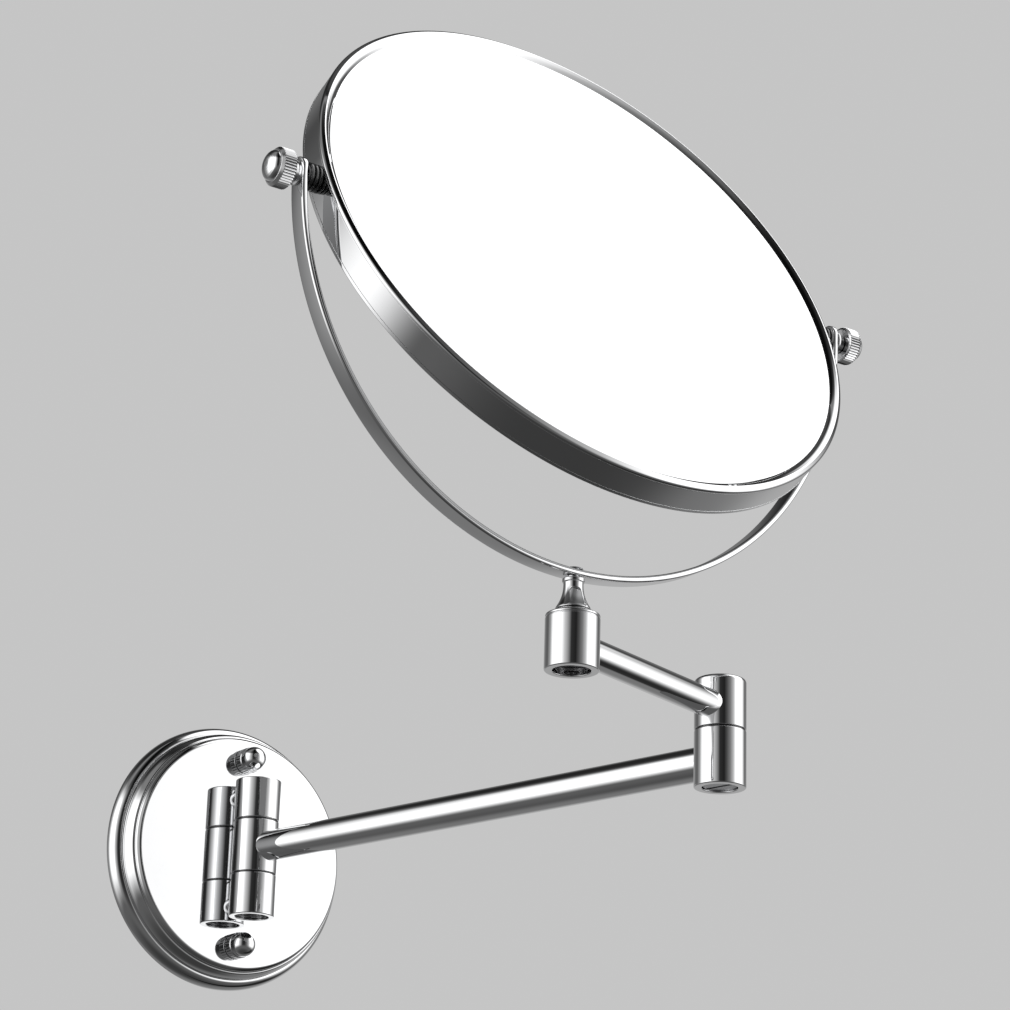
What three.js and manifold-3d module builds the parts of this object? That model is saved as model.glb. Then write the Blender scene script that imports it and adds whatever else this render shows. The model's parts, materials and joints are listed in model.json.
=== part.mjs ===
// Extendable shaving mirror: a round two-sided mirror in a half-ring yoke, on a folding arm with two
// sections, hinged to a round wall plate. Millimetres, +Z up, the wall is the plane y = 0 and the room
// is towards -Y. The origin is the centre of the bracket's back face.
import * as THREE from "three";
import { mergeVertices } from "three/addons/utils/BufferGeometryUtils.js";
import Module from "manifold-3d";

const wasm = await Module();
wasm.setup();

// Facets round a turned piece, by size
const FACETS_LARGE = 48;
const FACETS_ARC = 40;
const FACETS_PLATE = 36;
const FACETS_BODY = 20;
const FACETS_SMALL = 16;
const FACETS_HOLE = 10;

// Clearances
const GAP = 0.3; // between two pieces that touch or turn in each other
const BITE = 1; // how far a cutting tool runs past the face it opens

// Wall bracket and wall plate
const BRACKET_RADIUS = 42;
const BRACKET_THICKNESS = 3;
const WALL_SCREW_OFFSET = 26;
const WALL_SCREW_HOLE_RADIUS = 2.6;
const PLATE_DEPTH = 14;
const PLATE_BACK_RADIUS = 52.2;
const PLATE_STEP = 3.4; // from the back band to the second band
const PLATE_SECOND_STEP = 2.5; // from the second band to the bevel
const PLATE_BEVEL = 1.2;
const PLATE_BACK_BAND = 5.88; // height of the back band
const PLATE_LEDGE = 0.5; // flat ring between the second band and the bevel
const PLATE_WALL = 1.5;
const NUT_OFFSET = 37; // cap nuts above and below the centre
const STUD_RADIUS = 2;
const NUT_RADIUS = 4.8;
const NUT_SKIRT_RADIUS = 5.1;
const NUT_SKIRT_HEIGHT = 4;
const NUT_LENGTH = 10.5;
const NUT_GRIP = 6.5; // length of stud inside the cap nut

// Wall hinge
const BARREL_RADIUS = 9;
const POST_LENGTH = 1.7; // from the plate's face to the barrel
const HINGE_OFFSET = PLATE_DEPTH + POST_LENGTH + BARREL_RADIUS; // hinge axis from the wall
const MIDDLE_KNUCKLE_HEIGHT = 20;
const FIXED_KNUCKLE_HEIGHT = 15.9;
const WASHER_THICKNESS = 0.5;
const PIN_RADIUS = 4;
const PIN_HEAD_RADIUS = 6.3;
const PIN_HEAD_HEIGHT = 2.8;
const PIN_RECESS = 1.8; // from the barrel's lower face to the pin head
const BARREL_EDGE = 0.8;
const POST_RADIUS = 4.5;
const POST_EDGE = 1; // from the barrel's end to the post
const POST_SCREW_RADIUS = 1.8;
const POST_SCREW_HEAD_RADIUS = 3.6;
const POST_SCREW_HEAD_HEIGHT = 2.2;
const POST_SCREW_WALL = 0.8; // metal between the screw's hole and the pin's recess

// Long arm and elbow
const LONG_ARM_LENGTH = 231.4; // between the two hinge axes
const LONG_ARM_RADIUS = 6;
const LONG_ARM_WALL = 1.2;
const ELBOW_RADIUS = 9;
const ELBOW_LOWER_HEIGHT = 19.5;
const ELBOW_UPPER_HEIGHT = 17.8;
const ELBOW_SCREW_RADIUS = 3.5;
const ELBOW_SCREW_HEAD_RADIUS = 5.9;
const ELBOW_SCREW_HEAD_HEIGHT = 2.4;
const ELBOW_RECESS = 0.6;
const SLOT_WIDTH = 1.4;
const SLOT_DEPTH = 1;
const ELBOW_ROUNDING = 1.6;
const ELBOW_CROWN = 5; // solid metal above the pivot screw

// Short arm and end collar
const SHORT_ARM_LENGTH = 88;
const SHORT_ARM_RADIUS = 5;
const SHORT_ARM_RISE = 7.7; // short arm's axis above the elbow's joint face
const COLLAR_RADIUS = 9;
const COLLAR_HEIGHT = 19.6;
const COLLAR_RISE = 1; // collar's middle above the short arm's axis
const COLLAR_CHAMFER = 1.2;
const COLLAR_RING_DEPTH = 0.4;
const COLLAR_RECESS = 3;

// Swivel stem
const TENON_RADIUS = 3.5;
const SWIVEL_SCREW_RADIUS = 1.8;
const SWIVEL_SCREW_HEAD_RADIUS = 6;
const SWIVEL_SCREW_HEAD_HEIGHT = 1.6;
const STEM_HEIGHT = 10.4;
const STEM_BASE_RADIUS = 6.2;
const STEM_NECK_RADIUS = 3.3;
const STEM_BEAD_RADIUS = 3.7;
const SPIGOT_RADIUS = 2;
const RIVET_HEAD_HEIGHT = 0.6;
const RIVET_HEAD_OVERLAP = 1.1; // from the spigot's hole to the head's edge

// Mirror
const RIM_RADIUS = 104; // outside of the bezel rings
const BEZEL_LIP = 4.4; // width of the bezel seen from the front
const BEZEL_SKIRT = 1.8;
const BAND_DROP = 0.4; // from the bezel's outside to the band's
const BEZEL_WALL = 1.1;
const LIP_THICKNESS = 0.7;
const BAND_WALL = 1.4;
const GLASS_THICKNESS = 3;
const MAGNIFIER_THICKNESS = 2;
const MAGNIFIER_DISH = 3.8; // depth of the hollow face
const BOARD_THICKNESS = 0.8;
const BOARD_MARGIN = 3; // from the glass edge to the board edge
const BOARD_CLEARANCE = 0.5; // from the board to the middle of the magnifying glass
const PLAIN_DEPTH = LIP_THICKNESS + GAP + GLASS_THICKNESS; // from the front lip's face
const MAGNIFIER_DEPTH = LIP_THICKNESS + GAP + MAGNIFIER_DISH + MAGNIFIER_THICKNESS;
const RIM_DEPTH = PLAIN_DEPTH + GAP + BOARD_THICKNESS + BOARD_CLEARANCE + MAGNIFIER_DEPTH;

// Yoke, pivots and knobs
const YOKE_CLEARANCE = 5.2; // from the bezel to the yoke's inner face
const YOKE_THICKNESS = 2.2;
const YOKE_WIDTH = 7.4;
const YOKE_END_RISE = 2; // centre of the rounded end above the pivot axis
const PIVOT_RADIUS = 1.9;
const SPACER_RADIUS = 4.5;
const SPACER_RIB_DEPTH = 0.5;
const SPACER_RIBS = 3;
const NECK_RADIUS = 3.6;
const NECK_LENGTH = 2.6;
const KNOB_RADIUS = 6.5;
const KNOB_LENGTH = 8.4;
const KNOB_BAND = 4.2; // length of the knurled band
const KNOB_BEVEL = 1.26; // along the axis, from the knurled band to the dome
const KNOB_DOME_RADIUS = 4.4;
const KNOB_DOME_HEIGHT = 1.54;
const KNOB_CROWN_RADIUS = 3.08; // where the dome flattens
const KNOB_CROWN_HEIGHT = 0.44;
const KNOB_GRIP = 5; // length of stud inside the knob
const KNURL_DEPTH = 0.25;
const KNURL_TEETH = 24;

// How the arm stands: degrees about +Z, and the mirror's lean back
const LONG_ARM_ANGLE = -78.9;
const SHORT_ARM_ANGLE = 196.9;
const YOKE_ANGLE = -1.5;
const MIRROR_TILT = 24.9;

// Sizes that follow from those above
const plateFace = PLATE_DEPTH;
const knuckleJoint = MIDDLE_KNUCKLE_HEIGHT / 2;
const fixedStart = knuckleJoint + WASHER_THICKNESS + 2 * GAP;
const barrelEnd = fixedStart + FIXED_KNUCKLE_HEIGHT;
const postHeight = barrelEnd - POST_EDGE - POST_RADIUS;
const elbowJoint = ELBOW_LOWER_HEIGHT / 2;
const elbowUpperStart = elbowJoint + WASHER_THICKNESS + 2 * GAP;
const elbowTop = elbowUpperStart + ELBOW_UPPER_HEIGHT;
const shortArmHeight = elbowUpperStart + SHORT_ARM_RISE;
const collarBottom = shortArmHeight + COLLAR_RISE - COLLAR_HEIGHT / 2;
const collarTop = collarBottom + COLLAR_HEIGHT;
const stemBottom = collarTop + WASHER_THICKNESS + 2 * GAP;
const stemTop = stemBottom + STEM_HEIGHT;
const yokeInner = RIM_RADIUS + YOKE_CLEARANCE;
const yokeOuter = yokeInner + YOKE_THICKNESS;
const mirrorHeight = stemTop + GAP + yokeOuter;
const halfDepth = RIM_DEPTH / 2;
const bandOuter = RIM_RADIUS - BEZEL_WALL - GAP;
const bandInner = bandOuter - BAND_WALL;
const glassRadius = bandInner - GAP;
const lipBack = halfDepth - LIP_THICKNESS;
const glassFront = lipBack - GAP;

const chrome = { color: 0xd5d7da, roughness: 0.08, metalness: 1 };
const brushed = { color: 0xb4b7bb, roughness: 0.3, metalness: 1 };
const steel = { color: 0x9a9da1, roughness: 0.4, metalness: 1 };
const dark = { color: 0x2c2d30, roughness: 0.5, metalness: 0.4 };
const silvered = { color: 0xf4f6f8, roughness: 0.02, metalness: 1 };
const board = { color: 0x6f6a62, roughness: 0.8, metalness: 0 };

const UP = new THREE.Vector3(0, 0, 1);
const OUT = new THREE.Vector3(0, -1, 0);
const RIGHT = new THREE.Vector3(1, 0, 0);
const LEFT = new THREE.Vector3(-1, 0, 0);

// A profile of [radius, distance] pairs turned about the axis AXIS through the local origin.
function turned(profile, axis, segments) {
  const points = profile.map(([r, a]) => new THREE.Vector2(r, a));
  const geometry = new THREE.LatheGeometry(points, segments);
  const turn = new THREE.Quaternion().setFromUnitVectors(new THREE.Vector3(0, 1, 0), axis);
  return geometry.applyQuaternion(turn);
}

// A plain round bar from START to END along AXIS.
function bar(radius, start, end, axis, segments = FACETS_SMALL) {
  return turned([[0, start], [radius, start], [radius, end], [0, end]], axis, segments);
}

// A flat ring from START to END along AXIS.
function ring(inner, outer, start, end, axis, segments = FACETS_SMALL) {
  const profile = [[inner, start], [outer, start], [outer, end], [inner, end], [inner, start]];
  return turned(profile, axis, segments);
}

function solid(geometry) {
  const bare = geometry.index ? geometry.toNonIndexed() : geometry.clone();
  bare.deleteAttribute("normal");
  bare.deleteAttribute("uv");
  const merged = mergeVertices(bare, 1e-4);
  const vertProperties = new Float32Array(merged.attributes.position.array);
  const triVerts = new Uint32Array(merged.index.array);
  return new wasm.Manifold(new wasm.Mesh({ numProp: 3, vertProperties, triVerts }));
}

function shell(body) {
  const made = body.getMesh();
  const geometry = new THREE.BufferGeometry();
  geometry.setAttribute("position", new THREE.BufferAttribute(made.vertProperties, 3));
  geometry.setIndex(new THREE.BufferAttribute(made.triVerts, 1));
  geometry.computeVertexNormals();
  return geometry;
}

function cut(geometry, ...tools) {
  return shell(tools.reduce((body, tool) => body.subtract(solid(tool)), solid(geometry)));
}

function joined(...geometries) {
  return shell(geometries.slice(1).reduce((body, other) => body.add(solid(other)), solid(geometries[0])));
}

function moved(geometry, x, y, z) {
  return geometry.translate(x, y, z);
}

function add(group, name, geometry, look) {
  const mesh = new THREE.Mesh(geometry, new THREE.MeshStandardMaterial(look));
  mesh.name = name;
  group.add(mesh);
}

function turnedGroup(parent, x, y, z, degrees) {
  const group = new THREE.Group();
  group.position.set(x, y, z);
  group.rotation.z = THREE.MathUtils.degToRad(degrees);
  parent.add(group);
  return group;
}

const shavingMirror = new THREE.Group();

// Wall bracket: a flat disc with two holes for wall screws
const bracketShape = new THREE.Shape();
bracketShape.absarc(0, 0, BRACKET_RADIUS, 0, 2 * Math.PI);
for (const side of [-1, 1]) {
  const hole = new THREE.Path();
  hole.absarc(side * WALL_SCREW_OFFSET, 0, WALL_SCREW_HOLE_RADIUS, 0, 2 * Math.PI, true);
  bracketShape.holes.push(hole);
}
const bracket = new THREE.ExtrudeGeometry(bracketShape, {
  depth: BRACKET_THICKNESS,
  bevelEnabled: false,
  curveSegments: FACETS_SMALL,
});
add(shavingMirror, "wall_bracket_plate", bracket.rotateX(Math.PI / 2), steel);

// Wall plate: a spun cup with two bands, a bevel and a flat polished face
const secondRadius = PLATE_BACK_RADIUS - PLATE_STEP;
const bevelRadius = secondRadius - PLATE_SECOND_STEP;
const faceRadius = bevelRadius - PLATE_BEVEL;
const bevelStart = PLATE_DEPTH - PLATE_BEVEL;
const secondBand = bevelStart - PLATE_BEVEL;
const innerFace = PLATE_DEPTH - PLATE_WALL;
const platePoints = [
  [0, innerFace],
  [faceRadius - PLATE_WALL, innerFace],
  [bevelRadius - PLATE_WALL, secondBand - PLATE_WALL],
  [secondRadius - PLATE_WALL, PLATE_BACK_BAND],
  [PLATE_BACK_RADIUS - PLATE_WALL, PLATE_BACK_BAND - PLATE_WALL],
  [PLATE_BACK_RADIUS - PLATE_WALL, 0],
  [PLATE_BACK_RADIUS, 0],
];
for (let step = 1; step <= 3; step += 1) {
  const angle = (step / 3) * (Math.PI / 2);
  platePoints.push([
    PLATE_BACK_RADIUS - (PLATE_STEP / 2) * (1 - Math.cos(angle)),
    PLATE_BACK_BAND / 3 + ((2 * PLATE_BACK_BAND) / 3) * Math.sin(angle),
  ]);
}
platePoints.push([secondRadius, PLATE_BACK_BAND]);
for (let step = 0; step <= 3; step += 1) {
  const angle = (step / 3) * (Math.PI / 2);
  const rise = secondBand - PLATE_BACK_BAND;
  platePoints.push([
    secondRadius - (PLATE_SECOND_STEP - PLATE_LEDGE) * (1 - Math.cos(angle)),
    PLATE_BACK_BAND + rise / 3 + ((2 * rise) / 3) * Math.sin(angle),
  ]);
}
platePoints.push([bevelRadius, secondBand]);
platePoints.push([bevelRadius, bevelStart]);
platePoints.push([faceRadius, plateFace]);
platePoints.push([0, plateFace]);
const plateHoles = [];
for (const side of [-1, 1]) {
  for (const [radius, height] of [[STUD_RADIUS, NUT_OFFSET], [POST_SCREW_RADIUS, postHeight]]) {
    const hole = bar(radius + GAP, innerFace - BITE, plateFace + BITE, OUT, FACETS_HOLE);
    plateHoles.push(moved(hole, 0, 0, side * height));
  }
}
add(shavingMirror, "wall_plate", cut(turned(platePoints, OUT, FACETS_PLATE), ...plateHoles), chrome);

// Studs, cap nuts and the fixed knuckles, above and below the centre
const studStart = BRACKET_THICKNESS + GAP;
const nutStart = plateFace + GAP;
const studEnd = nutStart + NUT_GRIP;
const postRoot = plateFace + GAP;
const screwHeadBack = innerFace - GAP - POST_SCREW_HEAD_HEIGHT;
const screwTip = HINGE_OFFSET - PIN_HEAD_RADIUS - 2 * GAP - POST_SCREW_WALL;
const pinTop = barrelEnd - BARREL_EDGE - PIN_HEAD_HEIGHT - PIN_RECESS;
const pinSeat = -barrelEnd + PIN_RECESS + PIN_HEAD_HEIGHT;
for (const [word, side] of [["upper", 1], ["lower", -1]]) {
  const stud = bar(STUD_RADIUS, studStart, studEnd, OUT, FACETS_HOLE);
  add(shavingMirror, `bracket_stud_${word}`, moved(stud, 0, 0, side * NUT_OFFSET), steel);

  const nutPoints = [
    [0, NUT_GRIP + GAP],
    [STUD_RADIUS + GAP, NUT_GRIP + GAP],
    [STUD_RADIUS + GAP, 0],
    [NUT_SKIRT_RADIUS, 0],
    [NUT_SKIRT_RADIUS, NUT_SKIRT_HEIGHT],
    [NUT_RADIUS, NUT_SKIRT_HEIGHT],
  ];
  const domeStart = NUT_LENGTH - NUT_RADIUS;
  for (let step = 0; step < 4; step += 1) {
    const angle = (step / 4) * (Math.PI / 2);
    nutPoints.push([NUT_RADIUS * Math.cos(angle), domeStart + NUT_RADIUS * Math.sin(angle)]);
  }
  nutPoints.push([0, NUT_LENGTH]);
  const nut = turned(nutPoints, OUT, FACETS_SMALL);
  add(shavingMirror, `cap_nut_${word}`, moved(nut, 0, -nutStart, side * NUT_OFFSET), chrome);

  const axis = side > 0 ? UP : UP.clone().negate();
  const body = turned(
    [
      [0, fixedStart],
      [BARREL_RADIUS, fixedStart],
      [BARREL_RADIUS, barrelEnd - BARREL_EDGE],
      [BARREL_RADIUS - BARREL_EDGE, barrelEnd],
      [0, barrelEnd],
    ],
    axis,
    FACETS_BODY,
  );
  const post = bar(POST_RADIUS, postRoot, HINGE_OFFSET, OUT);
  const knuckle = joined(moved(body, 0, -HINGE_OFFSET, 0), moved(post, 0, 0, side * postHeight));
  const cuts = [moved(bar(POST_SCREW_RADIUS + GAP, postRoot - BITE, screwTip + GAP, OUT, FACETS_HOLE),
    0, 0, side * postHeight)];
  if (side > 0) {
    cuts.push(moved(bar(PIN_RADIUS + GAP, fixedStart - BITE, pinTop + GAP, UP), 0, -HINGE_OFFSET, 0));
  } else {
    cuts.push(moved(bar(PIN_RADIUS + GAP, -barrelEnd - BITE, -fixedStart + BITE, UP), 0, -HINGE_OFFSET, 0));
    cuts.push(moved(bar(PIN_HEAD_RADIUS + GAP, -barrelEnd - BITE, pinSeat + GAP, UP), 0, -HINGE_OFFSET, 0));
  }
  add(shavingMirror, `knuckle_${word}`, cut(knuckle, ...cuts), chrome);

  const screw = turned(
    [
      [0, screwHeadBack],
      [POST_SCREW_HEAD_RADIUS, screwHeadBack],
      [POST_SCREW_HEAD_RADIUS, innerFace - GAP],
      [POST_SCREW_RADIUS, innerFace - GAP],
      [POST_SCREW_RADIUS, screwTip],
      [0, screwTip],
    ],
    OUT,
    FACETS_HOLE,
  );
  add(shavingMirror, `post_screw_${word}`, moved(screw, 0, 0, side * postHeight), steel);

  const washerStart = knuckleJoint + GAP;
  const washer = ring(PIN_RADIUS + GAP, BARREL_RADIUS - GAP, washerStart,
    washerStart + WASHER_THICKNESS, axis);
  add(shavingMirror, `hinge_washer_${word}`, moved(washer, 0, -HINGE_OFFSET, 0), dark);
}
const pin = turned(
  [
    [0, -barrelEnd + PIN_RECESS],
    [PIN_HEAD_RADIUS, -barrelEnd + PIN_RECESS],
    [PIN_HEAD_RADIUS, pinSeat],
    [PIN_RADIUS, pinSeat],
    [PIN_RADIUS, pinTop],
    [0, pinTop],
  ],
  UP,
  FACETS_SMALL,
);
add(shavingMirror, "hinge_pin", moved(pin, 0, -HINGE_OFFSET, 0), steel);

// Long arm: local +X runs along the tube
const longArm = turnedGroup(shavingMirror, 0, -HINGE_OFFSET, 0, LONG_ARM_ANGLE);
const middleKnuckle = ring(PIN_RADIUS + GAP, BARREL_RADIUS, -knuckleJoint, knuckleJoint, UP, FACETS_BODY);
add(longArm, "arm_knuckle", middleKnuckle, chrome);
const tube = ring(LONG_ARM_RADIUS - LONG_ARM_WALL, LONG_ARM_RADIUS, 0, LONG_ARM_LENGTH, RIGHT, FACETS_BODY);
const tubeEnds = [
  bar(BARREL_RADIUS + GAP, -knuckleJoint, knuckleJoint, UP, FACETS_BODY),
  moved(bar(ELBOW_RADIUS + GAP, -elbowJoint, elbowJoint, UP, FACETS_BODY), LONG_ARM_LENGTH, 0, 0),
];
add(longArm, "long_arm_tube", cut(tube, ...tubeEnds), chrome);

// Elbow: the lower body is on the long arm, the upper body is on the short arm
const headBottom = -elbowJoint + ELBOW_RECESS;
const headTop = headBottom + ELBOW_SCREW_HEAD_HEIGHT;
const screwTop = elbowTop - ELBOW_CROWN;
const elbowLower = turned(
  [
    [ELBOW_SCREW_RADIUS + GAP, headTop + GAP],
    [ELBOW_SCREW_HEAD_RADIUS + GAP, headTop + GAP],
    [ELBOW_SCREW_HEAD_RADIUS + GAP, -elbowJoint],
    [ELBOW_RADIUS, -elbowJoint],
    [ELBOW_RADIUS, elbowJoint],
    [ELBOW_SCREW_RADIUS + GAP, elbowJoint],
    [ELBOW_SCREW_RADIUS + GAP, headTop + GAP],
  ],
  UP,
  FACETS_BODY,
);
add(longArm, "elbow_lower_body", moved(elbowLower, LONG_ARM_LENGTH, 0, 0), chrome);
const pivotScrew = turned(
  [
    [0, headBottom],
    [ELBOW_SCREW_HEAD_RADIUS, headBottom],
    [ELBOW_SCREW_HEAD_RADIUS, headTop],
    [ELBOW_SCREW_RADIUS, headTop],
    [ELBOW_SCREW_RADIUS, screwTop],
    [0, screwTop],
  ],
  UP,
  FACETS_SMALL,
);
const slotLength = 2 * (ELBOW_SCREW_HEAD_RADIUS + BITE);
const slot = new THREE.BoxGeometry(slotLength, SLOT_WIDTH, 2 * SLOT_DEPTH);
slot.translate(0, 0, headBottom);
add(longArm, "elbow_pivot_screw", moved(cut(pivotScrew, slot), LONG_ARM_LENGTH, 0, 0), steel);
const elbowWasher = ring(ELBOW_SCREW_RADIUS + GAP, ELBOW_RADIUS - GAP, elbowJoint + GAP,
  elbowJoint + GAP + WASHER_THICKNESS, UP);
add(longArm, "elbow_washer", moved(elbowWasher, LONG_ARM_LENGTH, 0, 0), dark);

// Short arm: local +X runs along the rod
const shortArm = turnedGroup(longArm, LONG_ARM_LENGTH, 0, 0, SHORT_ARM_ANGLE - LONG_ARM_ANGLE);
const upperPoints = [
  [0, screwTop + GAP],
  [ELBOW_SCREW_RADIUS + GAP, screwTop + GAP],
  [ELBOW_SCREW_RADIUS + GAP, elbowUpperStart],
  [ELBOW_RADIUS, elbowUpperStart],
];
for (let step = 0; step <= 3; step += 1) {
  const angle = (step / 3) * (Math.PI / 2);
  upperPoints.push([
    ELBOW_RADIUS - ELBOW_ROUNDING * (1 - Math.cos(angle)),
    elbowTop - ELBOW_ROUNDING * (1 - Math.sin(angle)),
  ]);
}
upperPoints.push([0, elbowTop]);
add(shortArm, "elbow_upper_body", turned(upperPoints, UP, FACETS_BODY), chrome);
const rod = moved(bar(SHORT_ARM_RADIUS, 0, SHORT_ARM_LENGTH, RIGHT, FACETS_BODY), 0, 0, shortArmHeight);
const rodEnds = [
  bar(ELBOW_RADIUS + GAP, elbowUpperStart, elbowTop, UP, FACETS_BODY),
  moved(bar(COLLAR_RADIUS + GAP, collarBottom, collarTop, UP, FACETS_BODY), SHORT_ARM_LENGTH, 0, 0),
];
add(shortArm, "short_arm_rod", cut(rod, ...rodEnds), chrome);

// End collar, open below where the swivel screw sits in a recess
const collarSeat = collarBottom + COLLAR_RECESS + SWIVEL_SCREW_HEAD_HEIGHT + GAP;
const ringLine = collarTop - COLLAR_CHAMFER - 2 * COLLAR_RING_DEPTH;
const collar = turned(
  [
    [TENON_RADIUS + GAP, collarSeat],
    [SWIVEL_SCREW_HEAD_RADIUS + GAP, collarSeat],
    [SWIVEL_SCREW_HEAD_RADIUS + GAP, collarBottom],
    [COLLAR_RADIUS, collarBottom],
    [COLLAR_RADIUS, ringLine - 2 * COLLAR_RING_DEPTH],
    [COLLAR_RADIUS - COLLAR_RING_DEPTH, ringLine - COLLAR_RING_DEPTH],
    [COLLAR_RADIUS, ringLine],
    [COLLAR_RADIUS, collarTop - COLLAR_CHAMFER],
    [COLLAR_RADIUS - COLLAR_CHAMFER, collarTop],
    [TENON_RADIUS + GAP, collarTop],
    [TENON_RADIUS + GAP, collarSeat],
  ],
  UP,
  FACETS_BODY,
);
add(shortArm, "end_collar", moved(collar, SHORT_ARM_LENGTH, 0, 0), chrome);

// Yoke: local +X is the mirror's pivot axis
const yoke = turnedGroup(shortArm, SHORT_ARM_LENGTH, 0, 0, YOKE_ANGLE - SHORT_ARM_ANGLE);
const tenonEnd = collarSeat + GAP;
const swivelBore = tenonEnd + COLLAR_HEIGHT / 2;
const beadRadius = STEM_BEAD_RADIUS - STEM_NECK_RADIUS;
const stemPoints = [
  [0, swivelBore],
  [SWIVEL_SCREW_RADIUS + GAP, swivelBore],
  [SWIVEL_SCREW_RADIUS + GAP, tenonEnd],
  [TENON_RADIUS, tenonEnd],
  [TENON_RADIUS, stemBottom],
  [STEM_BASE_RADIUS, stemBottom],
];
const flareHeight = STEM_HEIGHT - 2 * beadRadius;
for (let step = 1; step <= 5; step += 1) {
  const rise = step / 5;
  const flare = (1 - rise) ** 2.2;
  stemPoints.push([
    STEM_NECK_RADIUS + (STEM_BASE_RADIUS - STEM_NECK_RADIUS) * flare,
    stemBottom + flareHeight * rise,
  ]);
}
const beadLow = stemTop - 2 * beadRadius;
for (let step = 1; step <= 4; step += 1) {
  const angle = (step / 4) * Math.PI;
  stemPoints.push([
    STEM_NECK_RADIUS + beadRadius * Math.sin(angle),
    beadLow + beadRadius * (1 - Math.cos(angle)),
  ]);
}
const spigotTop = stemTop + GAP + YOKE_THICKNESS + GAP;
stemPoints.push([SPIGOT_RADIUS, stemTop], [SPIGOT_RADIUS, spigotTop], [0, spigotTop]);
add(yoke, "swivel_stem", turned(stemPoints, UP, FACETS_BODY), chrome);
const swivelWasher = ring(TENON_RADIUS + GAP, STEM_BASE_RADIUS + GAP, collarTop + GAP,
  collarTop + GAP + WASHER_THICKNESS, UP);
add(yoke, "swivel_washer", swivelWasher, dark);
const swivelHead = collarSeat - GAP;
const swivelScrew = turned(
  [
    [0, swivelHead - SWIVEL_SCREW_HEAD_HEIGHT],
    [SWIVEL_SCREW_HEAD_RADIUS, swivelHead - SWIVEL_SCREW_HEAD_HEIGHT],
    [SWIVEL_SCREW_HEAD_RADIUS, swivelHead],
    [SWIVEL_SCREW_RADIUS, swivelHead],
    [SWIVEL_SCREW_RADIUS, swivelBore - GAP],
    [0, swivelBore - GAP],
  ],
  UP,
  FACETS_SMALL,
);
add(yoke, "swivel_screw", swivelScrew, dark);
const capStart = spigotTop + GAP;
const rivetHead = SPIGOT_RADIUS + RIVET_HEAD_OVERLAP;
const rivetCap = bar(rivetHead, capStart, capStart + RIVET_HEAD_HEIGHT, UP);
add(yoke, "yoke_rivet", rivetCap, steel);

// The half ring, with straight ends that are rounded about a point just above the pivot axis
const arc = new THREE.Shape();
const endTop = YOKE_END_RISE + YOKE_WIDTH / 2;
arc.moveTo(yokeOuter, endTop);
arc.lineTo(yokeOuter, 0);
arc.absarc(0, 0, yokeOuter, 0, -Math.PI, true);
arc.lineTo(-yokeOuter, endTop);
arc.lineTo(-yokeInner, endTop);
arc.lineTo(-yokeInner, 0);
arc.absarc(0, 0, yokeInner, -Math.PI, 0, false);
arc.lineTo(yokeInner, endTop);
arc.closePath();
const halfRing = new THREE.ExtrudeGeometry(arc, {
  depth: YOKE_WIDTH,
  bevelEnabled: false,
  curveSegments: FACETS_ARC,
});
halfRing.translate(0, 0, -YOKE_WIDTH / 2);
halfRing.rotateX(Math.PI / 2);
const reach = yokeOuter + BITE;
const belowEnds = new THREE.BoxGeometry(2 * reach, 2 * YOKE_WIDTH, reach + YOKE_END_RISE);
belowEnds.translate(0, 0, (YOKE_END_RISE - reach) / 2);
const roundEnds = moved(bar(YOKE_WIDTH / 2, -reach, reach, RIGHT, FACETS_BODY), 0, 0, YOKE_END_RISE);
const rounded = solid(halfRing).intersect(solid(joined(belowEnds, roundEnds)));
const bandCuts = [
  bar(PIVOT_RADIUS + GAP, -reach, reach, RIGHT, FACETS_HOLE),
  bar(SPIGOT_RADIUS + GAP, -reach, BITE - yokeInner, UP, FACETS_HOLE),
];
const yokeBand = cut(shell(rounded), ...bandCuts);
add(yoke, "yoke_band", moved(yokeBand, 0, 0, mirrorHeight), chrome);

// Mirror: local OUT is the way the plain glass faces
const mirror = new THREE.Group();
mirror.position.z = mirrorHeight;
mirror.rotation.x = THREE.MathUtils.degToRad(-MIRROR_TILT);
yoke.add(mirror);
const rimHoles = bar(PIVOT_RADIUS + GAP, -reach, reach, RIGHT, FACETS_HOLE);
const skirtStart = halfDepth - BEZEL_SKIRT;
const bandFace = RIM_RADIUS - BAND_DROP;
const bandSide = lipBack - GAP;
const bandShoulder = skirtStart - GAP;
const bandPoints = [
  [bandInner, -bandSide],
  [bandOuter, -bandSide],
  [bandOuter, -bandShoulder],
  [bandFace, -bandShoulder],
  [bandFace, bandShoulder],
  [bandOuter, bandShoulder],
  [bandOuter, bandSide],
  [bandInner, bandSide],
  [bandInner, -bandSide],
];
const band = turned(bandPoints, OUT, FACETS_LARGE);
add(mirror, "mirror_rim", cut(band, rimHoles), chrome);
for (const [word, axis] of [["front", OUT], ["rear", OUT.clone().negate()]]) {
  const edge = LIP_THICKNESS;
  const bezel = turned(
    [
      [bandOuter + GAP, skirtStart],
      [RIM_RADIUS - edge / 2, skirtStart],
      [RIM_RADIUS, skirtStart + edge / 2],
      [RIM_RADIUS, halfDepth - edge],
      [RIM_RADIUS - edge, halfDepth],
      [RIM_RADIUS - BEZEL_LIP, halfDepth],
      [RIM_RADIUS - BEZEL_LIP, lipBack],
      [bandOuter + GAP, lipBack],
      [bandOuter + GAP, skirtStart],
    ],
    axis,
    FACETS_LARGE,
  );
  add(mirror, `bezel_${word}`, bezel, chrome);
}
const plain = bar(glassRadius, glassFront - GLASS_THICKNESS, glassFront, OUT, FACETS_LARGE);
add(mirror, "glass_plain", plain, silvered);
const dishSteps = 3;
const magnifierPoints = [];
for (let step = 0; step <= dishSteps; step += 1) {
  const share = step / dishSteps;
  const sag = MAGNIFIER_DISH * (1 - share ** 2);
  magnifierPoints.push([glassRadius * share, -glassFront + sag]);
}
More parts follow.
